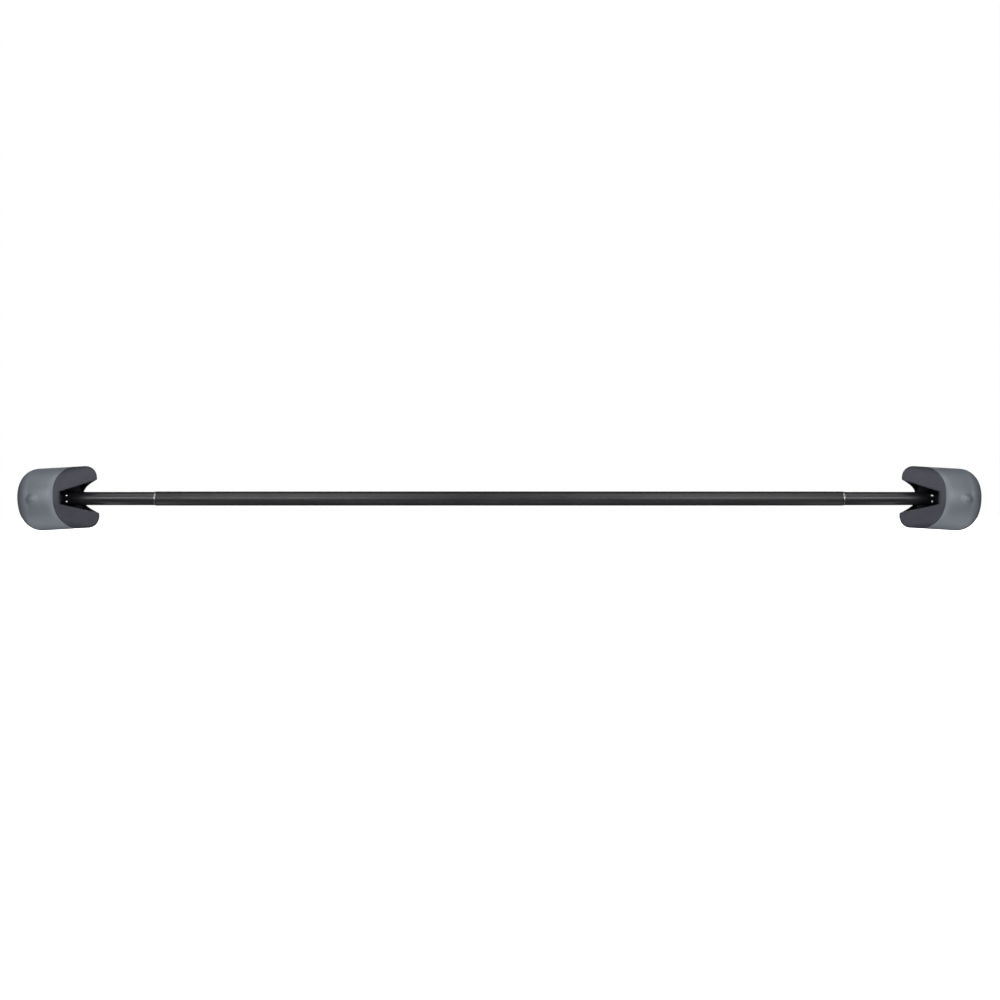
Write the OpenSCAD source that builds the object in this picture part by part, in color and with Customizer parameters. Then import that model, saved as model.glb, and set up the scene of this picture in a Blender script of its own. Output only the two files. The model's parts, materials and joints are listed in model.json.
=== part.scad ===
// Telescopic pull up bar: a turning grip tube drives two jack screws,
// which push an end tube and a swivelling V-notched pad out of each mouth.
// +X runs along the bar, +Z is up, and the origin is the middle of the bar's axis.
// Each end is drawn for the right (+X) and mirrored for the left.

/* [Grip tube] */
// Outer diameter of the grip tube
grip_diameter = 28; // [26:0.5:32]
// Length of the grip tube without its end rings
grip_length = 1348; // [1200:1:1500]
// Wall thickness of the grip tube
grip_wall = 0.8; // [0.8:0.1:1.2]
// Width of the bright ring on each mouth of the grip tube
ring_width = 3.7; // [3:0.1:6]

/* [End tubes] */
// Distance from the grip tube's mouth to the pad's pivot
mouth_to_pivot = 188.3; // [178:0.1:230]
// Length of end tube inside the grip tube
insertion = 118; // [112:1:140]
// Wall thickness of an end tube
end_wall = 1.5; // [1.2:0.1:2]
// Length of the knuckle's collar, from the tube's end to the pivot
collar_length = 14.5; // [14:0.5:18]

/* [Screws] */
// Crest diameter of the jack screw
screw_diameter = 14; // [12:1:14]
// Pitch of the jack screw: the end tube's travel per turn
screw_pitch = 4; // [3:0.5:5]
// Travel of an end tube outwards from here
travel_out = 60; // [40:1:60]
// Travel of an end tube inwards from here
travel_in = 100; // [60:1:100]

/* [Pads] */
// Height of a pad
pad_height = 122; // [116:1:130]
// Depth of a pad, front to back
pad_depth = 138; // [130:1:146]
// Distance from the pivot to the pad's wall face
pad_reach = 69.5; // [66:0.5:76]
// Distance from the pivot to the prong tips
prong_reach = 74.7; // [72:0.1:80]
// Distance from the pivot to the cover's lip, towards the bar
lip_reach = 16; // [12:0.5:18]
// Squareness of the pad's rounded section: 2 is an ellipse
pad_square = 2.5; // [2.2:0.1:4]
// Angle by which the pads' outer ends droop
pad_droop = 3.35; // [0:0.05:6]
// Thickness of the rubber cover
cover_wall = 7; // [5:0.5:8]
// Thickness of the plastic core's walls
core_wall = 4; // [3:0.5:5]

/* [Notch] */
// Distance from the pivot to the notch's blunt apex
notch_start = 23.4; // [21:0.1:28]
// Height of the blunt apex
notch_apex = 24.4; // [20:0.1:28]
// Angle of each flank of the notch
notch_angle = 22.4; // [20:0.1:24]

/* [Hidden] */
$fn = 96;

// Running clearance, measured on the radius
running = 0.05;
// Gap between pieces that are fixed together
joint_gap = 0.05;
// A little more than a face needs, so that cuts pass right through
cut = 1;

// Grip tube and end tube
grip_bore = grip_diameter - 2 * grip_wall;
mouth_x = grip_length / 2 + ring_width;
end_diameter = grip_bore - 2 * running;
end_bore = end_diameter - 2 * end_wall;
end_tube_start = mouth_x - insertion;
pivot_x = mouth_x + mouth_to_pivot;
end_tube_stop = pivot_x - collar_length;

// Drive nut: a plug in the end tube, a flange against its rim and a neck for the glide ring
nut_plug = 25;
nut_flange = 4;
nut_neck = 12;
neck_diameter = 18;
nut_start = end_tube_start - nut_flange - nut_neck;
nut_pin_diameter = 4;
nut_pin_x = end_tube_start + nut_plug / 2;
nut_pin_sunk = 0.2;
clip_wall = 1.2;
clip_groove = 0.6;
clip_inset = 1;
glide_length = 9;
glide_gap = 0.3;
glide_start = nut_start + nut_neck - glide_length - glide_gap;

// Jack screw, the plug that anchors it in the grip tube, and the stop at its outer end
stop_gap = 1.3;
anchor_gap = 2.7;
anchor_length = 22;
anchor_nut_length = 8;
thread_depth = 2;
thread_gap = 0.5;
anchor_face = nut_start - travel_in - anchor_gap;
spigot_diameter = screw_diameter - 2 * thread_depth;
stop_start = end_tube_start + nut_plug + travel_out + stop_gap;
stop_length = 6;
stop_diameter = 21;
screw_tip = stop_start + stop_length + 3;

// Knuckle, pivot and rivets
shank_length = 40;
knuckle_flat = 11.5;
flat_gap = 0.5;
pin_diameter = 10;
pin_length = 92;
washer_wall = 1;
washer_diameter = 20;
rivet_inset = 3;
rivet_angle = 27;
rivet_shank = 2.4;
rivet_hold = end_wall + 3;
rivet_head = 4;
rivet_rise = 0.9;
rivet_seat = 0.02;

// Pad shape, along u: distance outwards from the pivot
end_bend = 34;
bend_start = pad_reach - end_bend;
face_height = 44;
face_depth = 36;
tip_bend = 22;
tip_depth = 5;
tip_slope = (pad_depth - tip_depth) / 2 / (prong_reach - lip_reach);
lip_round = 1.6;
shoulder = 4;

// Bosses and screws inside a pad
boss_diameter = 26;
boss_reach = 60;
boss_gap = 0.2;
boss_start = knuckle_flat + washer_wall + boss_gap;
screw_boss = 11;
screw_boss_reach = 44;
core_screw = 4;
screw_play = 0.4;
core_screw_head = 8;
core_screw_grip = 18;
head_seat = 28;
head_height = 3;
boss_places = [for (u = [-2, 36]) for (z = [-33, 33]) [u, z]];

// How finely the pads' shells are divided
half_steps = 16;
bend_steps = 5;
tip_steps = 4;
wall_steps = 3;
closing_step = 0.3;
closing_rise = 0.1;
closed_share = 0.8;

// ---- Helpers -------------------------------------------------------------

// Draws for the right end, or mirrors to the left
module on_side(side) {
    mirror([side < 0 ? 1 : 0, 0, 0]) children();
}

// Turns a shape that rises along Z so that it runs along X from x
module along_x(x = 0) {
    translate([x, 0, 0]) rotate([0, 90, 0]) children();
}

// Turns a shape that rises along Z so that it runs along +Y from y
module along_y(y = 0) {
    translate([0, y, 0]) rotate([-90, 0, 0]) children();
}

// A tube along X between two places
module tube_x(from, to, outer, bore) {
    along_x(from) difference() {
        cylinder(d = outer, h = to - from);
        translate([0, 0, -cut]) cylinder(d = bore, h = to - from + 2 * cut);
    }
}

// A rod along X between two places
module rod_x(from, to, diameter) {
    along_x(from) cylinder(d = diameter, h = to - from);
}

// Puts a pad's pieces at the pivot, drooping
module at_pivot() {
    translate([pivot_x, 0, 0]) rotate([0, pad_droop, 0]) children();
}

// ---- Pad shape -----------------------------------------------------------

function quarter(x, length) = sqrt(max(0, 1 - pow(x / length, 2)));

// Half-height of the pad's surface at u, pulled in by inset
function half_height(u, inset) =
    u > bend_start
        ? face_height / 2
            + (pad_height / 2 - inset - face_height / 2) * quarter(u - bend_start, end_bend - inset)
    : u < tip_bend - prong_reach
        ? pad_height / 2 - inset - tip_bend * (1 - quarter(tip_bend - prong_reach - u, tip_bend))
    : pad_height / 2 - inset;

// Half-depth at u, with its own inset for the inclined faces between lip and tips
function half_depth(u, inset, face_inset) =
    u > bend_start
        ? face_depth / 2
            + (pad_depth / 2 - inset - face_depth / 2) * quarter(u - bend_start, end_bend - inset)
    : max(0, min(
        pad_depth / 2 - inset,
        tip_depth / 2 + tip_slope * (u + prong_reach) - face_inset * sqrt(1 + pow(tip_slope, 2))));

// A point of the rounded section, at angle a from the top and forwards
function section_point(u, a, depth, height) = [
    u,
    -depth * sign(sin(a)) * pow(abs(sin(a)), 2 / pad_square),
    height * sign(cos(a)) * pow(abs(cos(a)), 2 / pad_square)
];

// Both triangles of each square between two neighbouring rings
function side_faces(rings, size) = [
    for (k = [0 : rings - 2]) for (i = [0 : size - 1])
        let (a = k * size + i, b = k * size + (i + 1) % size)
            each [[a, b + size, b], [a, a + size, b + size]]
];

// Places along u on the outer end's bend, for a surface pulled in by inset
function bend_places(inset, steps) =
    [for (j = [0 : steps]) bend_start + (end_bend - inset) * sin(90 * j / steps)];

// The same, with two more places close to the end, where the bend is steepest
function closing_places(inset, steps) =
    let (bend = bend_places(inset, steps))
    [for (j = [0 : steps - 1]) bend[j], each [for (back = [2, 1, 0]) bend[steps] - back * closing_step]];

// ---- Pad cover: a cup of closed rings, from its inner end to its lip to its outer end ----

function cover_ring(u, inset) = [
    for (i = [0 : 2 * half_steps - 1])
        section_point(u, 180 * i / half_steps, half_depth(u, inset, 0), half_height(u, inset))
];

function cover_rings() =
    let (
        inside = cover_wall - joint_gap,
        lip = joint_gap - lip_reach,
        bend = closing_places(inside, bend_steps)
    )
    concat(
        [for (j = [len(bend) - 1 : -1 : 0]) cover_ring(bend[j], inside)],
        [for (j = [1 : wall_steps]) cover_ring(bend_start + (lip - bend_start) * j / wall_steps, inside)],
        [cover_ring(lip, lip_round), cover_ring(lip + lip_round, 0)],
        [for (j = [1 : wall_steps - 1])
            cover_ring(lip + lip_round + (bend_start - lip - lip_round) * j / wall_steps, 0)],
        [for (u = bend_places(0, bend_steps)) cover_ring(u, 0)]
    );

module cover_shell() {
    rings = cover_rings();
    size = 2 * half_steps;
    polyhedron(
        points = [for (ring = rings) each ring],
        faces = concat(
            [[for (i = [0 : size - 1]) i]],
            side_faces(len(rings), size),
            [[for (i = [size - 1 : -1 : 0]) (len(rings) - 1) * size + i]]
        )
    );
}

// ---- Pad core: one half, a stack of C-shaped rings open towards y = 0 ----

// Outer arc at u_out pulled in by t_out, then inner arc at u_in; hollow 0 closes the inner arc
function core_ring(u_out, t_out, u_in, t_in, hollow) = concat(
    [for (i = [0 : half_steps])
        section_point(u_out, 180 * i / half_steps, half_depth(u_out, t_out, 0), half_height(u_out, t_out))],
    [for (i = [half_steps : -1 : 0])
        section_point(u_in, 180 * i / half_steps, hollow * half_depth(u_in, t_in, core_wall),
            (closed_share + (1 - closed_share) * hollow) * half_height(u_in, t_in))]
);

function core_rings() =
    let (
        under = cover_wall,
        deep = cover_wall + core_wall,
        tips = [for (j = [tip_steps : -1 : 0]) tip_bend * (1 - sin(90 * j / tip_steps)) - prong_reach],
        face_stop = -lip_reach - shoulder,
        outer_bend = closing_places(under, bend_steps),
        inner_bend = bend_places(deep, bend_steps)
    )
    concat(
        [for (u = tips) core_ring(u, 0, u, core_wall, 1)],
        [for (j = [1 : wall_steps])
            let (u = tips[tip_steps] + (face_stop - 1 - tips[tip_steps]) * j / wall_steps)
            core_ring(u, 0, u, core_wall, 1)],
        [core_ring(face_stop + 1, 0, face_stop - 1 / 2, deep, 1)],
        [core_ring(-lip_reach, 0, -lip_reach - 1, deep, 1)],
        [core_ring(-lip_reach, under, -lip_reach + 1, deep, 1)],
        [for (j = [1 : wall_steps - 1])
            let (u = -lip_reach + (bend_start + lip_reach) * j / wall_steps)
            core_ring(u, under, u, deep, 1)],
        [for (j = [0 : bend_steps - 1]) core_ring(outer_bend[j], under, inner_bend[j], deep, 1)],
        [core_ring(outer_bend[bend_steps], under, inner_bend[bend_steps], deep, 1)],
        [core_ring(outer_bend[bend_steps + 1], under, inner_bend[bend_steps] + closing_rise, deep, 0)],
        [core_ring(outer_bend[bend_steps + 2], under, outer_bend[bend_steps + 2], deep, 0)]
    );

// The squares that close a C-shaped ring, split so that no triangle lies flat on y = 0
function cap_faces(first, flip) = [
    for (i = [0 : half_steps - 1])
        let (
            last = 2 * half_steps + 1,
            o1 = first + i, o2 = first + i + 1,
            i1 = first + last - i, i2 = first + last - i - 1,
            pair = i < half_steps / 2 ? [[o1, o2, i1], [o2, i2, i1]] : [[o1, o2, i2], [o1, i2, i1]]
        )
        each [for (f = pair) flip ? [f[2], f[1], f[0]] : f]
];

module core_half_shell() {
    rings = core_rings();
    size = 2 * half_steps + 2;
    polyhedron(
        points = [for (ring = rings) each ring],
        faces = concat(
            cap_faces(0, false),
            side_faces(len(rings), size),
            cap_faces((len(rings) - 1) * size, true)
        )
    );
}

// The V-notch, a wedge through the whole depth of the pad
module notch() {
    mouth_u = -prong_reach - cut;
    mouth_z = notch_apex / 2 + (-notch_start - mouth_u) * tan(notch_angle);
    rotate([90, 0, 0]) linear_extrude(height = pad_depth + 2 * cut, center = true)
        polygon([
            [-notch_start, notch_apex / 2], [mouth_u, mouth_z],
            [mouth_u, -mouth_z], [-notch_start, -notch_apex / 2]
        ]);
}

// Bosses of a core half, drawn on the front (-Y) side
module core_bosses() {
    along_y(-boss_reach) cylinder(d = boss_diameter, h = boss_reach - boss_start);
    for (p = boss_places)
        translate([p[0], -screw_boss_reach, p[1]])
            rotate([-90, 0, 0]) cylinder(d = screw_boss, h = screw_boss_reach);
}

// The blind bore that seats the pivot pin, drawn on the front (-Y) side
module pin_seat() {
    along_y(-pin_length / 2 - joint_gap)
        cylinder(d = pin_diameter, h = pin_length / 2);
}

// ---- Sub-parts -----------------------------------------------------------

module centre_tube() {
    color([0.17, 0.17, 0.18])
        tube_x(-grip_length / 2, grip_length / 2, grip_diameter, grip_bore);
}

module end_ring(side) {
    bevel = 0.3;
    color([0.75, 0.75, 0.76]) on_side(side) along_x(grip_length / 2)
        rotate_extrude() polygon([
            [grip_bore / 2, 0], [grip_diameter / 2, 0],
            [grip_diameter / 2, ring_width - bevel], [grip_diameter / 2 - bevel, ring_width],
            [grip_bore / 2, ring_width]
        ]);
}

module screw_anchor(side) {
    color([0.45, 0.45, 0.46]) on_side(side)
        tube_x(anchor_face - anchor_length, anchor_face, grip_bore, spigot_diameter);
}

// Thread crests are drawn as rings, one to each pitch
module jack_screw(side) {
    crests = floor((screw_tip - anchor_face - stop_length - 4) / screw_pitch);
    root = spigot_diameter / 2;
    crest = screw_diameter / 2;
    start = anchor_face + thread_gap;
    color([0.6, 0.6, 0.62]) on_side(side) {
        rod_x(anchor_face - anchor_length - anchor_nut_length - 2, screw_tip, spigot_diameter);
        along_x(start) rotate_extrude() polygon(concat(
            [[root - 1, 0]],
            [for (k = [0 : crests - 1]) each [
                [root, screw_pitch * k], [crest, screw_pitch * (k + 0.25)],
                [crest, screw_pitch * (k + 0.5)], [root, screw_pitch * (k + 0.75)]
            ]],
            [[root, screw_pitch * crests], [root - 1, screw_pitch * crests]]
        ));
    }
}

module anchor_nut(side) {
    color([0.6, 0.6, 0.62]) on_side(side)
        along_x(anchor_face - anchor_length - anchor_nut_length) difference() {
            cylinder(d = 20, h = anchor_nut_length, $fn = 6);
            translate([0, 0, -cut]) cylinder(d = spigot_diameter, h = anchor_nut_length + 2 * cut);
        }
}

module screw_stop(side) {
    color([0.6, 0.6, 0.62]) on_side(side)
        tube_x(stop_start, stop_start + stop_length, stop_diameter, spigot_diameter);
}

module glide_ring(side) {
    color([0.85, 0.85, 0.82]) on_side(side)
        tube_x(glide_start, glide_start + glide_length, end_diameter, neck_diameter + 2 * running);
}

module glide_clip(side) {
    color([0.6, 0.6, 0.62]) on_side(side)
        tube_x(nut_start + clip_inset, nut_start + clip_inset + clip_wall,
            neck_diameter + 4, neck_diameter - 2 * clip_groove);
}

// Radial pins that hold the drive nut, one above and one below
module nut_pin_cuts(grow) {
    for (turn = [0, 180])
        translate([nut_pin_x, 0, 0]) rotate([turn, 0, 0])
            translate([0, 0, end_bore / 2 - 3]) cylinder(d = nut_pin_diameter, h = 3 + end_wall + grow);
}

module drive_nut(side) {
    color([0.65, 0.55, 0.3]) on_side(side) difference() {
        union() {
            rod_x(nut_start, end_tube_start, neck_diameter);
            rod_x(end_tube_start - nut_flange, end_tube_start, end_diameter);
            rod_x(end_tube_start, end_tube_start + nut_plug, end_bore);
        }
        rod_x(nut_start - cut, end_tube_start + nut_plug + cut, screw_diameter + 2 * running);
        tube_x(nut_start + clip_inset, nut_start + clip_inset + clip_wall,
            neck_diameter + 2, neck_diameter - 2 * clip_groove);
        nut_pin_cuts(cut);
    }
}

module nut_pins(side) {
    color([0.6, 0.6, 0.62]) on_side(side) nut_pin_cuts(-nut_pin_sunk);
}

// Cuts for the rivets that hold the knuckle in the tube: two in front and two behind
module rivet_places() {
    for (turn = [90 - rivet_angle, 90 + rivet_angle, 270 - rivet_angle, 270 + rivet_angle])
        translate([end_tube_stop - rivet_inset, 0, 0]) rotate([turn, 0, 0])
            translate([0, 0, end_diameter / 2]) children();
}

module rivet_shank(length) {
    translate([0, 0, -length]) cylinder(d = rivet_shank, h = length);
}

module end_tube(side) {
    color([0.08, 0.08, 0.085]) on_side(side) difference() {
        tube_x(end_tube_start, end_tube_stop, end_diameter, end_bore);
        nut_pin_cuts(cut);
        rivet_places() translate([0, 0, cut]) rivet_shank(end_wall + 2 * cut);
    }
}

module knuckle(side) {
    eye = end_diameter;
    color([0.06, 0.06, 0.065]) on_side(side) difference() {
        union() {
            rod_x(end_tube_stop - shank_length, end_tube_stop, end_bore);
            intersection() {
                rod_x(end_tube_stop, pivot_x + eye, end_diameter);
                union() {
                    translate([end_tube_stop, -eye / 2, -eye / 2]) cube([collar_length, eye, eye]);
                    translate([pivot_x, -eye / 2, 0]) rotate([-90, 0, 0]) cylinder(d = eye, h = eye);
                }
            }
        }
        translate([pivot_x, -eye, 0]) rotate([-90, 0, 0])
            cylinder(d = pin_diameter + 2 * running, h = 2 * eye);
        for (turn = [0, 180]) rotate([turn, 0, 0])
            translate([pivot_x - boss_diameter / 2 - flat_gap, knuckle_flat, -eye])
                cube([2 * eye, eye, 2 * eye]);
        rivet_places() rivet_shank(rivet_hold);
    }
}

module rivets(side) {
    dome = (pow(rivet_head / 2, 2) + pow(rivet_rise, 2)) / 2 / rivet_rise;
    color([0.7, 0.7, 0.72]) on_side(side) rivet_places() {
        translate([0, 0, rivet_rise / 2]) rivet_shank(rivet_hold + rivet_rise / 2);
        intersection() {
            translate([0, 0, rivet_rise - dome]) sphere(r = dome);
            translate([0, 0, rivet_seat]) cylinder(d = rivet_head, h = rivet_rise + cut);
        }
    }
}

module pivot_pin(side) {
    color([0.6, 0.6, 0.62]) on_side(side) at_pivot()
        along_y(-pin_length / 2) cylinder(d = pin_diameter, h = pin_length);
}

module pivot_washers(side) {
    color([0.85, 0.85, 0.82]) on_side(side) at_pivot()
        for (turn = [0, 180]) rotate([0, 0, turn])
            along_y(knuckle_flat + joint_gap) difference() {
                cylinder(d = washer_diameter, h = washer_wall);
                translate([0, 0, -cut]) cylinder(d = pin_diameter, h = washer_wall + 2 * cut);
            }
}

module core_front(side) {
    color([0.16, 0.16, 0.17]) on_side(side) at_pivot() difference() {
        union() {
            difference() {
                core_half_shell();
                notch();
            }
            core_bosses();
        }
        pin_seat();
        for (p = boss_places) translate([p[0], 0, p[1]])
            along_y(-core_screw_grip - 2) cylinder(d = core_screw, h = core_screw_grip + 2 + cut);
    }
}

module core_back(side) {
    color([0.16, 0.16, 0.17]) on_side(side) at_pivot() mirror([0, 1, 0]) difference() {
        union() {
            difference() {
                core_half_shell();
                notch();
            }
            core_bosses();
        }
        pin_seat();
        for (p = boss_places) translate([p[0], 0, p[1]]) {
            along_y(-head_seat - cut) cylinder(d = core_screw + screw_play, h = head_seat + 2 * cut);
            along_y(-pad_depth / 2)
                cylinder(d = core_screw_head + screw_play, h = pad_depth / 2 - head_seat);
        }
    }
}

module core_screws(side) {
    color([0.6, 0.6, 0.62]) on_side(side) at_pivot()
        for (p = boss_places) translate([p[0], 0, p[1]]) {
            along_y(-core_screw_grip) cylinder(d = core_screw, h = core_screw_grip + head_seat);
            along_y(head_seat) cylinder(d = core_screw_head, h = head_height);
        }
}

module pad_cover(side) {
    color([0.45, 0.49, 0.52]) on_side(side) at_pivot() cover_shell();
}

centre_tube();
end_ring(-1);  // left_end_ring
end_ring(1);  // right_end_ring
screw_anchor(-1);  // left_screw_anchor
screw_anchor(1);  // right_screw_anchor
jack_screw(-1);  // left_jack_screw
jack_screw(1);  // right_jack_screw
anchor_nut(-1);  // left_anchor_nut
anchor_nut(1);  // right_anchor_nut
screw_stop(-1);  // left_screw_stop
screw_stop(1);  // right_screw_stop
glide_ring(-1);  // left_glide_ring
glide_ring(1);  // right_glide_ring
glide_clip(-1);  // left_glide_clip
glide_clip(1);  // right_glide_clip
drive_nut(-1);  // left_drive_nut
drive_nut(1);  // right_drive_nut
nut_pins(-1);  // left_nut_pins
nut_pins(1);  // right_nut_pins
end_tube(-1);  // left_end_tube
end_tube(1);  // right_end_tube
knuckle(-1);  // left_knuckle
knuckle(1);  // right_knuckle
rivets(-1);  // left_rivets
rivets(1);  // right_rivets
pivot_pin(-1);  // left_pivot_pin
pivot_pin(1);  // right_pivot_pin
pivot_washers(-1);  // left_pivot_washers
pivot_washers(1);  // right_pivot_washers
core_front(-1);  // left_core_front
core_front(1);  // right_core_front
core_back(-1);  // left_core_back
core_back(1);  // right_core_back
core_screws(-1);  // left_core_screws
core_screws(1);  // right_core_screws
pad_cover(-1);  // left_pad_cover
pad_cover(1);  // right_pad_cover
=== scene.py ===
"""Looks for the telescopic pull up bar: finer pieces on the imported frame, materials, light and camera.

Lengths are millimetres until they go into a mesh. The bar runs along X and Z is up.
"""
import json
from math import acos, cos, exp, log, pi, radians, sin, sqrt, tan

import bmesh
import bpy
from mathutils import Matrix, Vector


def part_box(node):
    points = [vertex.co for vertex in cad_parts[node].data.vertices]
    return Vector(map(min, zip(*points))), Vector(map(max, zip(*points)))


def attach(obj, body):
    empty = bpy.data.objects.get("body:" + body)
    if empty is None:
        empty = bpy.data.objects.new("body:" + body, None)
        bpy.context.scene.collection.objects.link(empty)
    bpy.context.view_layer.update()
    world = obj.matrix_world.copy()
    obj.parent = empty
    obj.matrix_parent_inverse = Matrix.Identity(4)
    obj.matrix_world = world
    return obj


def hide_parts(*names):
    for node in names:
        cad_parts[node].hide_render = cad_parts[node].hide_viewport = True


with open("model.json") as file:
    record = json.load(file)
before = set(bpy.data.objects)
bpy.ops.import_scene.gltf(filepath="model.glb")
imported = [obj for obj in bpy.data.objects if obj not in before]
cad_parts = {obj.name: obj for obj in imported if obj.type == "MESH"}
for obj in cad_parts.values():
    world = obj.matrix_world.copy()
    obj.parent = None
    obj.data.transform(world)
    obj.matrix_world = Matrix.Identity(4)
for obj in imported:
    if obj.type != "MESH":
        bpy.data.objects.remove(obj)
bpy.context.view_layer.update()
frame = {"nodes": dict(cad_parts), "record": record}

MM = 0.001
SIDES = {"left": -1, "right": 1}

# ---- Pad shape; u is the distance outwards from the pivot --------------------------------

# Sizes that the CAD has too; LIP_REACH is where the CAD's straight lip lies
DROOP = radians(3.35)
PAD_HEIGHT, PAD_DEPTH = 122, 138
PAD_REACH, PRONG_REACH, LIP_REACH = 69.5, 74.7, 16
COVER_WALL, CORE_WALL = 7, 4
NOTCH_START, NOTCH_APEX, NOTCH_ANGLE = 23.4, 12.2, radians(22.4)
END_BEND, FACE_HEIGHT, FACE_DEPTH = 34, 22, 18
TIP_BEND, TIP_DEPTH = 22, 2.5
BEND_START = PAD_REACH - END_BEND

# The visual's own section, rounder than the CAD's: 2 would be an ellipse
SQUARE = 2.1

# How far the back half's inclined faces are hollowed, and over what share of their length
UPPER_SCOOP, LOWER_SCOOP, SCOOP_SHARE = 11, 4, 0.85

# The cover's lip, swept back above and below, and the soft crest that the core meets it with
LIP_MIDDLE, LIP_SWEEP = -14.6, 14.0
CREST_LENGTH, CREST_DROP, CREST_BLEND = 13.0, 3.8, 1.1
LIP_DROP, LIP_GAP = 0.5, 0.05

# The low oval boss on the front and the back of each cover
BOSS_U, BOSS_LENGTH, BOSS_WIDTH, BOSS_RISE = 26, 9.5, 8.5, 3.6

# How much the cover's front and back fall away towards the outer bend
CAMBER = 6.0

# Grooves in the wall face
GROOVE_COUNT, GROOVE_DEPTH = 3, 0.5

# The core's parting gap and the radius of its notch's edges
PARTING_GAP = 0.15
RIM_RADIUS = 1.3

# Bosses inside a core
PIVOT_BOSS, PIVOT_BOSS_FROM, PIVOT_BOSS_TO, PIVOT_BOSS_EDGE = 26, 12.7, 60, 0.6
SCREW_BOSS, SCREW_BOSS_TO = 11, 44
SCREW_BOSS_PLACES = [(u, z) for u in (-2, 36) for z in (-33, 33)]

# The tubes' and rings' rounded edges, and the end tube's wall at its ends
END_TUBE_WALL = 1.5
GRIP_EDGE, END_TUBE_EDGE, RING_EDGE, KNUCKLE_EDGE = 0.35, 0.5, 0.6, 0.8

# Rivets: distance from the tube's end, degrees from level, head, dome and stem
RIVET_INSET, RIVET_TURN = 3, 27
RIVET_HEAD, RIVET_RISE, RIVET_STEM, RIVET_UNDER = 2.0, 0.9, 1.2, 0.1

# How finely the pieces are divided
AROUND_TUBE, AROUND_PAD = 160, 176
AROUND_RIVET, AROUND_PIVOT_BOSS, AROUND_SCREW_BOSS = 32, 64, 40
PRONG_COLUMNS, APEX_COLUMNS = 44, 12
LAST_COLUMN = 2 * PRONG_COLUMNS + APEX_COLUMNS
PRONG_ROWS, BEND_ROWS, BODY_STEP = 30, 18, 2.0
INSIDE_ROWS, CREST_ROWS, FACE_ROWS = 8, 10, 40
LIP_ROWS, CORE_BODY_ROWS = 12, 10


def quarter(x, length):
    return sqrt(max(0.0, 1 - (x / length) ** 2))


def half_height(u, inset):
    full = PAD_HEIGHT / 2 - inset
    if u > BEND_START:
        return FACE_HEIGHT + (full - FACE_HEIGHT) * quarter(u - BEND_START, END_BEND - inset)
    if u < TIP_BEND - PRONG_REACH:
        return full - TIP_BEND * (1 - quarter(TIP_BEND - PRONG_REACH - u, TIP_BEND))
    return full


def lip_place(a):
    """u of the cover's lip at angle a of the section."""
    rise = abs(cos(a)) ** (2 / SQUARE)
    return LIP_MIDDLE - LIP_SWEEP * rise ** 3


def scoop(u, a):
    """How far the back half's inclined faces are hollowed at u, more above than below."""
    t = (u + PRONG_REACH) / ((PRONG_REACH + LIP_MIDDLE) * SCOOP_SHARE)
    depth = UPPER_SCOOP if a < pi / 2 else LOWER_SCOOP
    return depth * sin(pi * t) if 0 < t < 1 else 0.0


def half_depth(u, inset, face_inset=0.0, lip=-LIP_REACH):
    full = PAD_DEPTH / 2 - inset
    if u > BEND_START:
        return FACE_DEPTH + (full - FACE_DEPTH) * quarter(u - BEND_START, END_BEND - inset)
    slope = (PAD_DEPTH / 2 - TIP_DEPTH) / (PRONG_REACH + lip)
    inclined = TIP_DEPTH + slope * (u + PRONG_REACH) - face_inset * sqrt(1 + slope ** 2)
    return max(0.0, min(full, inclined))


def rounded(a, depth, height):
    """(y, z) of the pad's rounded section at angle a, from the top and forwards."""
    s, c = sin(a), cos(a)
    power = 2 / SQUARE
    y = -depth * abs(s) ** power * (1 if s >= 0 else -1)
    z = height * abs(c) ** power * (1 if c >= 0 else -1)
    return y, z


def notch_half(u):
    """Half-height of the notch at u."""
    return NOTCH_APEX + max(0.0, -NOTCH_START - u) * tan(NOTCH_ANGLE)


def joint_at(name):
    """A joint's place along the bar, in millimetres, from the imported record."""
    joint = next(j for j in frame["record"]["behaviour"]["joints"] if j["name"] == name)
    return abs(joint["pos_m"][0]) / MM


def pad_place(side):
    """Turns (u, y, z) at the pivot into a point of the frame, in metres."""
    pivot, sign = joint_at(side + "_swivel"), SIDES[side]

    def place(u, y, z):
        x = pivot + u * cos(DROOP) + z * sin(DROOP)
        return Vector((sign * x, y, -u * sin(DROOP) + z * cos(DROOP))) * MM
    return place


# ---- Mesh helpers --------------------------------------------------------------------

class Shell:
    """Points and faces gathered for one piece."""

    def __init__(self):
        self.points, self.faces = [], []

    def row(self, points):
        first = len(self.points)
        self.points += points
        return list(range(first, len(self.points)))

    def grid(self, rows, wrap=False):
        for a, b in zip(rows, rows[1:]):
            for i in range(len(a) if wrap else len(a) - 1):
                j = (i + 1) % len(a)
                self.faces.append((a[i], a[j], b[j], b[i]))

    def lathe(self, profile, place, around):
        """Turns a closed profile of (along, radius) about an axis: place takes (along, across, up)."""
        rows = []
        for along, radius in profile + profile[:1]:
            turns = [2 * pi * k / around for k in range(around)]
            rows.append([place(along, radius * sin(t), radius * cos(t)) for t in turns])
        rows = [self.row(r) for r in rows[:-1]]
        self.grid(rows + rows[:1], wrap=True)

    def rod(self, profile, place, around):
        """As lathe, for an open profile whose ends are closed with a face."""
        rows = []
        for along, radius in profile:
            turns = [2 * pi * k / around for k in range(around)]
            rows.append(self.row([place(along, radius * sin(t), radius * cos(t)) for t in turns]))
        self.grid(rows, wrap=True)
        self.faces += [tuple(rows[0]), tuple(rows[-1])]


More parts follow.
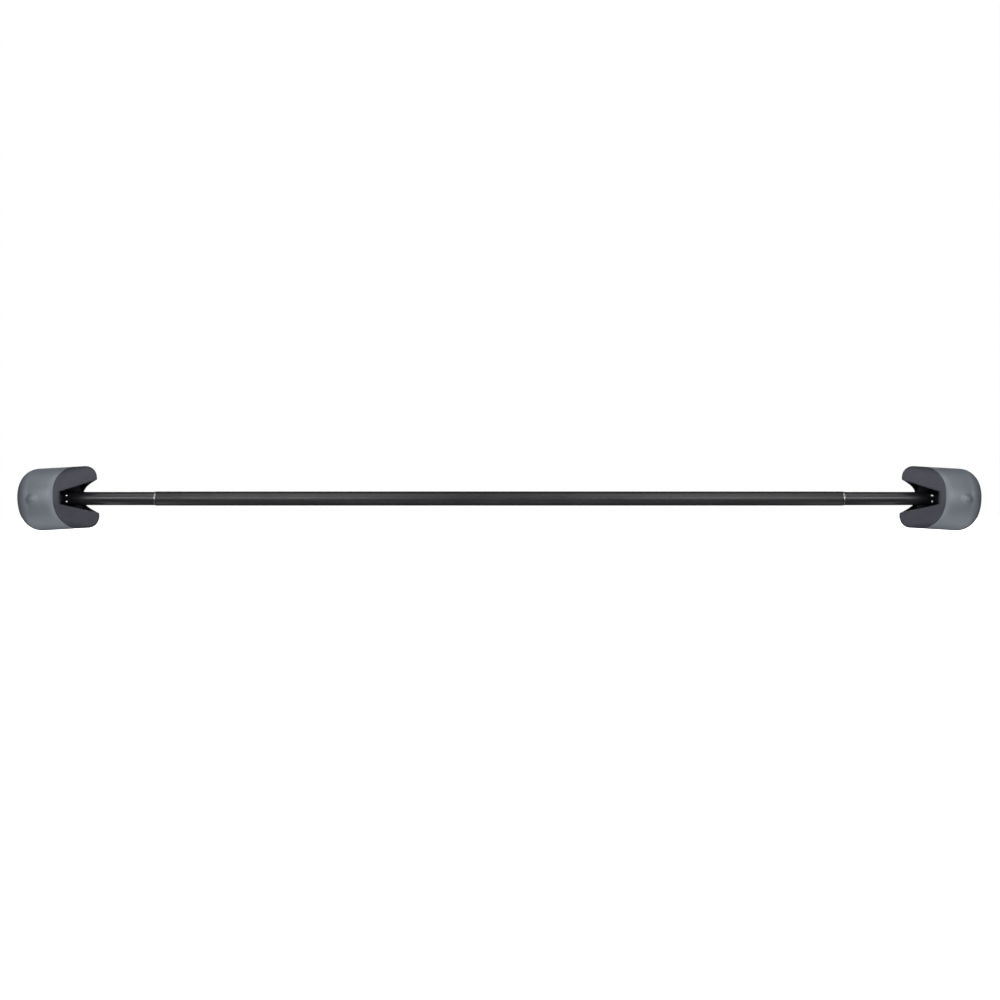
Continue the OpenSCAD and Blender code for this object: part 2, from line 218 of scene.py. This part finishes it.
def finish_piece(name, shell, side_body, nodes, material, sharp=40, round_edges=None):
    """Makes the object, rounds the chosen edges, and ties it to the frame."""
    mesh = bpy.data.meshes.new(name)
    bm = bmesh.new()
    corners = [bm.verts.new(p) for p in shell.points]
    for face in shell.faces:
        bm.faces.new([corners[i] for i in face])
    bm.normal_update()
    bmesh.ops.recalc_face_normals(bm, faces=bm.faces)
    if round_edges:
        edges = [bm.edges.get((corners[a], corners[b])) for a, b in round_edges]
        bmesh.ops.bevel(bm, geom=[e for e in edges if e], offset=RIM_RADIUS * MM, segments=4,
                        profile=0.5, affect="EDGES", clamp_overlap=False)
    bm.to_mesh(mesh)
    bm.free()
    mesh.shade_smooth()
    mesh.set_sharp_from_angle(angle=radians(sharp))
    mesh.materials.append(material)
    piece = bpy.data.objects.new(name, mesh)
    bpy.context.scene.collection.objects.link(piece)
    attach(piece, side_body)
    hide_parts(*nodes)
    return piece


def along_bar(side):
    """Place for lathes round the bar's axis."""
    sign = SIDES[side]
    return lambda along, across, up: Vector((sign * along, -across, up)) * MM


def tube_profile(start, stop, radius, bore, edge):
    """A tube's closed profile with small rounded edges."""
    corner = edge * (1 - sqrt(0.5))
    outside = [(start, radius - edge), (start + corner, radius - corner), (start + edge, radius),
               (stop - edge, radius), (stop - corner, radius - corner), (stop, radius - edge)]
    return outside + [(stop, bore), (start, bore)]


# ---- Materials -----------------------------------------------------------------------

def add_noise(nodes, links, coords, scale, detail, stretch=None):
    """A noise texture on object coordinates, stretched where a finish was drawn along the bar."""
    noise = nodes.new("ShaderNodeTexNoise")
    noise.inputs["Scale"].default_value = scale
    noise.inputs["Detail"].default_value = detail
    if stretch:
        mapping = nodes.new("ShaderNodeMapping")
        mapping.inputs["Scale"].default_value = stretch
        links.new(coords.outputs["Object"], mapping.inputs["Vector"])
        links.new(mapping.outputs["Vector"], noise.inputs["Vector"])
    else:
        links.new(coords.outputs["Object"], noise.inputs["Vector"])
    return noise


def add_range(nodes, links, source, low, high):
    """Spreads a noise's middle part over low to high."""
    spread = nodes.new("ShaderNodeMapRange")
    spread.inputs["From Min"].default_value = 0.3
    spread.inputs["From Max"].default_value = 0.7
    spread.inputs["To Min"].default_value = low
    spread.inputs["To Max"].default_value = high
    links.new(source, spread.inputs["Value"])
    return spread


def add_bump(nodes, links, height, depth, previous=None):
    bump = nodes.new("ShaderNodeBump")
    bump.inputs["Strength"].default_value = 1.0
    bump.inputs["Distance"].default_value = depth
    links.new(height, bump.inputs["Height"])
    if previous:
        links.new(previous.outputs["Normal"], bump.inputs["Normal"])
    return bump


def make_material(name, light, dark, rough, metallic=0.0, specular=0.5, mottle=30.0,
                  grain=(2500.0, 0.00003), wave=None, stretch=None):
    """Two mottled tones, uneven roughness, and a fine grain with an optional broader waviness."""
    material = bpy.data.materials.new(name)
    material.use_nodes = True
    nodes, links = material.node_tree.nodes, material.node_tree.links
    shader = nodes["Principled BSDF"]
    shader.inputs["Metallic"].default_value = metallic
    shader.inputs["Specular IOR Level"].default_value = specular
    coords = nodes.new("ShaderNodeTexCoord")

    tones = nodes.new("ShaderNodeValToRGB")
    tones.color_ramp.elements[0].color = (*dark, 1)
    tones.color_ramp.elements[1].color = (*light, 1)
    tones.color_ramp.elements[0].position = 0.3
    tones.color_ramp.elements[1].position = 0.7
    patches = add_noise(nodes, links, coords, mottle, 4.0, stretch)
    links.new(patches.outputs["Fac"], tones.inputs["Fac"])
    links.new(tones.outputs["Color"], shader.inputs["Base Color"])

    wear = add_noise(nodes, links, coords, mottle * 2.3, 3.0, stretch)
    roughness = add_range(nodes, links, wear.outputs["Fac"], rough[0], rough[1])
    links.new(roughness.outputs["Result"], shader.inputs["Roughness"])

    fine = add_noise(nodes, links, coords, grain[0], 2.0, stretch)
    bump = add_bump(nodes, links, fine.outputs["Fac"], grain[1])
    if wave:
        broad = add_noise(nodes, links, coords, wave[0], 1.0)
        bump = add_bump(nodes, links, broad.outputs["Fac"], wave[1], bump)
    links.new(bump.outputs["Normal"], shader.inputs["Normal"])
    return material


MATERIALS = {
    "matte_grip": make_material(
        "matte_powder_coat", (0.0054, 0.0054, 0.0060), (0.0042, 0.0042, 0.0047), (0.40, 0.48),
        specular=0.38, mottle=9.0, grain=(900.0, 0.00006)),
    "bright_ring": make_material(
        "turned_bright_ring", (0.22, 0.22, 0.23), (0.18, 0.18, 0.19), (0.36, 0.44),
        metallic=1.0, mottle=60.0, grain=(1200.0, 0.00002), stretch=(20.0, 1.0, 1.0)),
    "gloss_enamel": make_material(
        "gloss_black_enamel", (0.0055, 0.0055, 0.0065), (0.0040, 0.0040, 0.0050), (0.32, 0.38),
        specular=0.32, mottle=14.0, grain=(700.0, 0.00002), wave=(60.0, 0.00004)),
    "plain_steel": make_material(
        "plain_steel", (0.46, 0.46, 0.47), (0.34, 0.34, 0.35), (0.30, 0.42),
        metallic=1.0, mottle=45.0, grain=(1500.0, 0.00003), stretch=(1.0, 12.0, 12.0)),
    # Zinc rivet heads: the near-white, barely metallic base colour is a painted highlight that stands in
    # for the heads' glint, brighter than zinc itself
    "bright_rivet": make_material(
        "zinc_rivet_painted_glint", (0.90, 0.90, 0.92), (0.80, 0.80, 0.82), (0.30, 0.40),
        metallic=0.15, mottle=300.0, grain=(2500.0, 0.00002)),
    "nut_brass": make_material(
        "turned_brass", (0.60, 0.43, 0.16), (0.48, 0.33, 0.11), (0.24, 0.36),
        metallic=1.0, mottle=50.0, grain=(1500.0, 0.00003), stretch=(14.0, 1.0, 1.0)),
    "white_nylon": make_material(
        "white_nylon", (0.66, 0.65, 0.61), (0.58, 0.57, 0.53), (0.40, 0.52),
        mottle=60.0, grain=(1800.0, 0.00003)),
    "core_plastic": make_material(
        "moulded_core_plastic", (0.0135, 0.0142, 0.0182), (0.0112, 0.0118, 0.0150), (0.44, 0.54),
        specular=0.22, mottle=16.0, grain=(1400.0, 0.00007)),
    "pad_rubber": make_material(
        "moulded_pad_rubber", (0.047, 0.054, 0.062), (0.040, 0.046, 0.053), (0.42, 0.52),
        specular=0.42, mottle=11.0, grain=(1100.0, 0.00009), wave=(40.0, 0.0001)),
}


# ---- Pieces --------------------------------------------------------------------------

def bar_edges(node):
    """Nearest and furthest distance of a node from the middle, and its radius, in millimetres."""
    low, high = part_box(node)
    far, near = max(abs(low.x), abs(high.x)) / MM, min(abs(low.x), abs(high.x)) / MM
    return near, far, high.z / MM


def make_centre_tube():
    far, radius = bar_edges("centre_tube")[1:]
    bore = bar_edges("right_screw_anchor")[2]
    shell = Shell()
    shell.lathe(tube_profile(-far, far, radius, bore, GRIP_EDGE), along_bar("right"), AROUND_TUBE)
    finish_piece("grip_tube", shell, "grip", ["centre_tube"],
                 MATERIALS["matte_grip"])


def make_end_ring(side):
    near, far, radius = bar_edges(side + "_end_ring")
    bore = bar_edges(side + "_screw_anchor")[2]
    shell = Shell()
    shell.lathe(tube_profile(near, far, radius, bore, RING_EDGE), along_bar(side), AROUND_TUBE)
    finish_piece(side + "_mouth_ring", shell, "grip", [side + "_end_ring"],
                 MATERIALS["bright_ring"])


def make_end_tube(side):
    near, far, radius = bar_edges(side + "_end_tube")
    shell = Shell()
    profile = tube_profile(near, far, radius, radius - END_TUBE_WALL, END_TUBE_EDGE)
    shell.lathe(profile, along_bar(side), AROUND_TUBE)
    finish_piece(side + "_enamel_tube", shell, side + "_end", [side + "_end_tube"],
                 MATERIALS["gloss_enamel"])


def make_rivets(side):
    """Four domed heads on the tube's outer end, two in front and two behind."""
    tube_end, radius = bar_edges(side + "_end_tube")[1:]
    x, sign = tube_end - RIVET_INSET, SIDES[side]
    dome = [(RIVET_RISE * sin(t), RIVET_HEAD * cos(t)) for t in map(radians, range(0, 86, 12))]
    stem = [(-RIVET_STEM, RIVET_STEM), (-RIVET_UNDER, RIVET_STEM), (-RIVET_UNDER, RIVET_HEAD)]
    shell = Shell()
    for turn in (90 - RIVET_TURN, 90 + RIVET_TURN, 270 - RIVET_TURN, 270 + RIVET_TURN):
        spin = Matrix.Rotation(radians(turn), 3, "X")

        def place(along, across, up):
            local = spin @ Vector((across, up, radius + along))
            return Vector((sign * (x + local.x), local.y, local.z)) * MM
        shell.rod(stem + dome, place, AROUND_RIVET)
    # The heads' near-white colour paints in their glint
    finish_piece(side + "_rivet_heads", shell, side + "_end", [side + "_rivets"],
                 MATERIALS["bright_rivet"])


def make_knuckle(side):
    """The CAD knuckle's own shape with its edges rounded."""
    source = frame["nodes"][side + "_knuckle"]
    mesh = source.data.copy()
    bm = bmesh.new()
    bm.from_mesh(mesh)
    bmesh.ops.remove_doubles(bm, verts=bm.verts, dist=1e-6)
    bmesh.ops.dissolve_limit(bm, angle_limit=radians(0.5), verts=bm.verts, edges=bm.edges)
    bm.to_mesh(mesh)
    bm.free()
    mesh.materials.clear()
    mesh.materials.append(MATERIALS["gloss_enamel"])
    mesh.shade_smooth()
    piece = bpy.data.objects.new(side + "_knuckle_eye", mesh)
    bpy.context.scene.collection.objects.link(piece)
    bevel = piece.modifiers.new("rounded_edges", "BEVEL")
    bevel.width, bevel.segments = KNUCKLE_EDGE * MM, 3
    bevel.limit_method, bevel.angle_limit = "ANGLE", radians(40)
    bevel.harden_normals = True
    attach(piece, side + "_end")
    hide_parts(side + "_knuckle")


def boss_rise(u, y, z):
    """How far the cover's surface stands out over the low oval boss."""
    reach = sqrt(((u - BOSS_U) / BOSS_LENGTH) ** 2 + (z / BOSS_WIDTH) ** 2)
    return (BOSS_RISE if y < 0 else -BOSS_RISE) * exp(-reach ** 5)


def camber(u):
    """How far the cover's front and back have fallen away at u."""
    return CAMBER * max(0.0, min(1.0, (u - LIP_MIDDLE) / (BEND_START - LIP_MIDDLE))) ** 2


def cover_section(place, u, depth, height, boss=False):
    """A closed row of the cover: u is a number, or a function of the angle."""
    points = []
    for k in range(AROUND_PAD):
        a = 2 * pi * k / AROUND_PAD
        at = u(a) if callable(u) else u
        y, z = rounded(a, depth - camber(at) if boss else depth, height)
        points.append(place(at, y - boss_rise(at, y, z) if boss else y, z))
    return points


def between_lip_and_bend(share, start=0.0):
    """u at a share of the way from the lip, or a little past it, to the start of the outer bend."""
    def at(a):
        first = lip_place(a) + LIP_GAP + start
        return first + (BEND_START - first) * share
    return at


def bend_places(inset):
    return [BEND_START + (END_BEND - inset) * sin(pi / 2 * k / BEND_ROWS) for k in range(BEND_ROWS + 1)]


def cover_inside(place):
    """Rows of the cup's inner surface, from its closed end to the lip."""
    inset, steps = COVER_WALL - LIP_GAP, INSIDE_ROWS
    rows = [(u, half_depth(u, inset), half_height(u, inset)) for u in bend_places(inset)[::-1]]
    rows += [(between_lip_and_bend(1 - k / steps), PAD_DEPTH / 2 - inset, PAD_HEIGHT / 2 - inset)
             for k in range(1, steps + 1)]
    end = rows[0]
    middle = [(end[0], end[1] * k / 4, end[2] * k / 4) for k in (0.02, 1, 2, 3)]
    return [cover_section(place, *row) for row in middle + rows]


def cover_crest(place):
    """Rows of the lip's soft roll, up to the full section."""
    rows = []
    for k in range(CREST_ROWS + 1):
        t = pi / 2 * k / CREST_ROWS
        rows.append(cover_section(place, between_lip_and_bend(0, CREST_LENGTH * (1 - cos(t))),
                                  PAD_DEPTH / 2 - CREST_DROP * (1 - sin(t)),
                                  PAD_HEIGHT / 2 - LIP_DROP * (1 - sin(t)), boss=True))
    return rows


def bend_depth(u):
    """Half-depth round the outer bend, to which the camber adds nothing at the wall face."""
    share = (half_depth(u, 0) - FACE_DEPTH) / (PAD_DEPTH / 2 - FACE_DEPTH)
    return half_depth(u, 0) + CAMBER * (1 - share)


def cover_outside(place):
    """Rows of the outer surface, from the lip's roll to the wall face and its middle."""
    steps = int((BEND_START - LIP_MIDDLE - CREST_LENGTH) / BODY_STEP)
    rows = [cover_section(place, between_lip_and_bend(k / steps, CREST_LENGTH), PAD_DEPTH / 2,
                          PAD_HEIGHT / 2, boss=True) for k in range(1, steps)]
    rows += [cover_section(place, u, bend_depth(u), half_height(u, 0), boss=True)
             for u in bend_places(0)]
    for k in range(FACE_ROWS - 1, 0, -1):
        scale = k / FACE_ROWS
        groove = GROOVE_DEPTH * max(0.0, -cos(2 * pi * GROOVE_COUNT * scale)) ** 3
        rows.append(cover_section(place, PAD_REACH - groove, FACE_DEPTH * scale, FACE_HEIGHT * scale))
    return rows


def make_cover(side):
    place, shell = pad_place(side), Shell()
    rows = [shell.row(r) for r in cover_inside(place) + cover_crest(place) + cover_outside(place)]
    shell.grid(rows, wrap=True)
    shell.faces += [tuple(rows[0]), tuple(rows[-1])]
    finish_piece(side + "_rubber_cover", shell, side + "_pad", [side + "_pad_cover"],
                 MATERIALS["pad_rubber"])


def core_depth(u, a, inset):
    """The core's half-depth outside, with its crest rolled over towards the cover's lip."""
    full = half_depth(u, inset, 0, lip_place(a))
    if inset:
        return full
    crest = PAD_DEPTH / 2 - CREST_DROP
    return -CREST_BLEND * log(exp(-full / CREST_BLEND) + exp(-crest / CREST_BLEND))


def core_angle(i, u, height):
    """Angle of column i at u, so that the columns beside the notch follow its edges."""
    edge = acos(min(1.0, notch_half(u) / height) ** (SQUARE / 2))
    if i <= PRONG_COLUMNS:
        return edge * i / PRONG_COLUMNS
    if i >= PRONG_COLUMNS + APEX_COLUMNS:
        return pi - edge * (LAST_COLUMN - i) / PRONG_COLUMNS
    return edge + (pi - 2 * edge) * (i - PRONG_COLUMNS) / APEX_COLUMNS


def core_points(place, hand, us, inset, face_inset, height_drop=0.0):
    """A row of a core half from the top to the bottom: us gives u for a column and its angle."""
    points = []
    for i in range(LAST_COLUMN + 1):
        u = us(i, core_angle(i, 0, PAD_HEIGHT / 2)) if callable(us) else us
        height = half_height(u, inset) - height_drop
        a = core_angle(i, u, height)
        depth = core_depth(u, a, inset)
        if face_inset:
            depth = half_depth(u, inset, face_inset, lip_place(a))
        if hand < 0:
            depth = max(0.0, depth - scoop(u, a))
        y, z = rounded(a, depth, height)
        points.append(place(u, hand * (y - PARTING_GAP), z))
    return points


def middle_share(i):
    """0 at a core half's top and bottom, and 1 from the notch's edges inwards."""
    return min(1.0, min(i, LAST_COLUMN - i) / PRONG_COLUMNS)


def apex_place(i, a):
    """u of the last prong row: the notch's start in the middle, clear of the lip above and below."""
    weight = middle_share(i)
    return -NOTCH_START * weight + (lip_place(a) - CREST_LENGTH) * (1 - weight)


def prong_place(j):
    """u in prong row j: even along the notch, closer together round the tips' bend."""
    t, bend_share = j / PRONG_ROWS, 0.5

    def at(i, a):
        weight, end = middle_share(i), apex_place(i, a)
        even = -PRONG_REACH + (PRONG_REACH + end) * t
        if t < bend_share:
            curved = -PRONG_REACH + TIP_BEND * (1 - cos(pi / 2 * t / bend_share))
        else:
            rest = PRONG_REACH - TIP_BEND + end
            curved = -PRONG_REACH + TIP_BEND + rest * (t - bend_share) / (1 - bend_share)
        return curved * (1 - weight) + even * weight
    return at


def core_rows(place, hand):
    """Outer and inner rows of a core half, from the prong tips to its closed end."""
    deep, rows = COVER_WALL + CORE_WALL, []

    def add(u_out, inset_out, u_in, inset_in, drop=0.0):
        rows.append((core_points(place, hand, u_out, inset_out, 0, drop),
                     core_points(place, hand, u_in, inset_in, CORE_WALL)))
    for j in range(PRONG_ROWS + 1):
        add(prong_place(j), 0, prong_place(j), CORE_WALL)
    for k in range(1, LIP_ROWS + 1):
        share = 1 - (1 - k / LIP_ROWS) ** 1.5

        def towards_lip(i, a, share=share):
            return apex_place(i, a) + (lip_place(a) - apex_place(i, a)) * share

        def inside(i, a, at=towards_lip):
            return at(i, a) - min(0.8, at(i, a) - apex_place(i, a))
        drop = LIP_DROP * max(0.0, share - 0.9) * 10
        add(towards_lip, 0, inside, CORE_WALL if k < 4 else deep, drop)
    for k in range(CORE_BODY_ROWS):
        def along(i, a, share=k / CORE_BODY_ROWS):
            return lip_place(a) + (BEND_START - lip_place(a)) * share
        add(along, COVER_WALL, lambda i, a, at=along: max(at(i, a), lip_place(a) + 0.5), deep)
    for u_out, u_in in zip(bend_places(COVER_WALL), bend_places(deep)):
        add(u_out, COVER_WALL, u_in, deep)
    return rows


def core_faces(shell, rows):
    """Joins the rows into a closed half shell and returns the edges of the notch and the tips."""
    outer = [shell.row(r[0]) for r in rows]
    inner = [shell.row(r[1]) for r in rows]
    a, b, last = PRONG_COLUMNS, PRONG_COLUMNS + APEX_COLUMNS, LAST_COLUMN
    prong, apex, edges = outer[:PRONG_ROWS + 1], PRONG_ROWS, []
    for side_rows in (outer, inner):
        shell.grid([r[:a + 1] for r in side_rows[:apex + 1]])
        shell.grid([r[b:] for r in side_rows[:apex + 1]])
        shell.grid(side_rows[apex:])
    for column in (0, last):
        shell.grid([[o[column], i[column]] for o, i in zip(outer, inner)])
    for column in (a, b):
        shell.grid([[o[column], i[column]] for o, i in zip(outer[:apex + 1], inner)])
        edges += [(p[column], q[column]) for p, q in zip(prong, prong[1:])]
    for part in (slice(0, a + 1), slice(b, last + 1)):
        shell.grid([outer[0][part], inner[0][part]])
        edges += list(zip(outer[0][part], outer[0][part][1:]))
    shell.grid([outer[apex][a:b + 1], inner[apex][a:b + 1]])
    edges += list(zip(outer[apex][a:b + 1], outer[apex][a + 1:b + 1]))
    shell.faces += [tuple(outer[-1]), tuple(inner[-1])]
    shell.faces.append((outer[-1][0], inner[-1][0], inner[-1][last], outer[-1][last]))
    return edges


def make_core(side, half, hand):
    place, shell = pad_place(side), Shell()
    edges = core_faces(shell, core_rows(place, hand))
    used = {i for face in shell.faces for i in face}
    shell_points = len(shell.points)

    def inward(u0, z0):
        return lambda along, across, up: place(u0 + across, -hand * along, z0 + up)
    shell.rod([(PIVOT_BOSS_FROM, PIVOT_BOSS / 2 - PIVOT_BOSS_EDGE),
               (PIVOT_BOSS_FROM + PIVOT_BOSS_EDGE, PIVOT_BOSS / 2),
               (PIVOT_BOSS_TO, PIVOT_BOSS / 2)], inward(0, 0), AROUND_PIVOT_BOSS)
    for u0, z0 in SCREW_BOSS_PLACES:
        shell.rod([(PARTING_GAP, SCREW_BOSS / 2), (SCREW_BOSS_TO, SCREW_BOSS / 2)],
                  inward(u0, z0), AROUND_SCREW_BOSS)
    drop_unused(shell, used | set(range(shell_points, len(shell.points))), edges)
    finish_piece(f"{side}_core_shell_{half}", shell, side + "_pad", [f"{side}_core_{half}"],
                 MATERIALS["core_plastic"], sharp=50, round_edges=edges)


def drop_unused(shell, used, edges):
    """Leaves out the points that no face uses: the apex columns inside the notch."""
    order = sorted(used)
    new = {old: k for k, old in enumerate(order)}
    shell.points = [shell.points[i] for i in order]
    shell.faces = [tuple(new[i] for i in face) for face in shell.faces]
    edges[:] = [(new[p], new[q]) for p, q in edges]


def dress_inner_nodes():
    """Materials for the CAD nodes that stay."""
    finishes = {
        "plain_steel": ["screw_anchor", "jack_screw", "anchor_nut", "screw_stop", "glide_clip",
                        "nut_pins", "pivot_pin", "core_screws"],
        "nut_brass": ["drive_nut"],
        "white_nylon": ["glide_ring", "pivot_washers"],
    }
    for slot, names in finishes.items():
        for name in names:
            for side in SIDES:
                mesh = frame["nodes"][f"{side}_{name}"].data
                mesh.materials.clear()
                mesh.materials.append(MATERIALS[slot])


# ---- Studio --------------------------------------------------------------------------

FLOOR_DROP = 0.75
FLOOR_GLOW = 1.0
CAMERA_DISTANCE, CAMERA_ELEVATION = 1.950, radians(0.2)
LENS, SENSOR = 35.6, 36.0
SHIFT = (0.0006, -0.0015)

# Softboxes beside each pad: name, (x, y, z) on the right, x looked at, size, watts, and what sees them
SIDE_LIGHTS = [
    ("softbox", (1.5, -1.9, 0.45), 0.8, (1.4, 0.9), 34, "glossy"),
    ("top_softbox", (1.0, -0.6, 1.3), 0.8, (1.4, 0.9), 13, "both"),
    ("back_softbox", (1.2, 2.1, 0.5), 0.6, (1.2, 0.9), 8, "both"),
    ("over_softbox", (0.45, -0.5, 1.0), 0.8, (0.8, 0.6), 17, "diffuse"),
    ("under_softbox", (0.45, -0.5, -0.7), 0.8, (0.8, 0.6), 28, "diffuse"),
    ("bounce", (1.35, 0, -0.7), 1.35, (0.6, 0.8), 1.8, "both"),
]
# Broad fills for the whole bar: name, (x, y, z), size, watts
FILLS = [("front_fill", (0, -2.6, 0.3), (1.4, 0.8), 38), ("back_fill", (0, 2.6, 0.3), (1.4, 0.8), 70)]


def make_floor():
    mesh = bpy.data.meshes.new("floor")
    bm = bmesh.new()
    bmesh.ops.create_grid(bm, x_segments=8, y_segments=8, size=30)
    bm.to_mesh(mesh)
    bm.free()
    material = bpy.data.materials.new("pale_floor")
    material.use_nodes = True
    shader = material.node_tree.nodes["Principled BSDF"]
    shader.inputs["Base Color"].default_value = (0.86, 0.86, 0.86, 1)
    shader.inputs["Roughness"].default_value = 0.9
    shader.inputs["Emission Color"].default_value = (1, 1, 1, 1)
    shader.inputs["Emission Strength"].default_value = FLOOR_GLOW
    mesh.materials.append(material)
    floor = bpy.data.objects.new("floor", mesh)
    floor.location.z = -FLOOR_DROP
    floor.visible_diffuse = floor.visible_glossy = False
    bpy.context.scene.collection.objects.link(floor)


def add_softbox(name, at, towards, size, power, seen_by):
    light = bpy.data.lights.new(name, "AREA")
    light.shape, light.size, light.size_y, light.energy = "RECTANGLE", size[0], size[1], power
    box = bpy.data.objects.new(name, light)
    box.location = at
    box.rotation_euler = (Vector(towards) - Vector(at)).to_track_quat("-Z", "Y").to_euler()
    box.visible_diffuse = seen_by in ("diffuse", "both")
    box.visible_glossy = seen_by in ("glossy", "both")
    bpy.context.scene.collection.objects.link(box)


def make_white_world():
    """Plain white behind the bar, which the glossy tubes don't mirror."""
    world = bpy.data.worlds.new("white_studio")
    world.use_nodes = True
    background = world.node_tree.nodes["Background"].inputs
    background["Color"].default_value = (1, 1, 1, 1)
    background["Strength"].default_value = 1.0
    bpy.context.scene.world = world
    world.cycles_visibility.glossy = False


def make_lights():
    for side, sign in SIDES.items():
        for name, (x, y, z), aim, size, power, seen_by in SIDE_LIGHTS:
            add_softbox(f"{side}_{name}", (sign * x, y, z), (sign * aim, 0, 0), size, power, seen_by)
    for name, at, size, power in FILLS:
        add_softbox(name, at, (0, 0, 0), size, power, "diffuse")


def make_camera():
    camera = bpy.data.cameras.new("camera")
    camera.sensor_width, camera.lens = SENSOR, LENS
    camera.shift_x, camera.shift_y = SHIFT
    holder = bpy.data.objects.new("camera", camera)
    back = Vector((0, -cos(CAMERA_ELEVATION), sin(CAMERA_ELEVATION)))
    holder.location = back * CAMERA_DISTANCE
    holder.rotation_euler = (-back).to_track_quat("-Z", "Y").to_euler()
    bpy.context.scene.collection.objects.link(holder)
    bpy.context.scene.camera = holder


make_centre_tube()
for side in SIDES:
    make_end_ring(side)
    make_end_tube(side)
    make_rivets(side)
    make_knuckle(side)
    make_cover(side)
    make_core(side, "front", 1)
    make_core(side, "back", -1)
dress_inner_nodes()
make_floor()
make_white_world()
make_lights()
make_camera()
bpy.context.scene.view_settings.view_transform = "Standard"
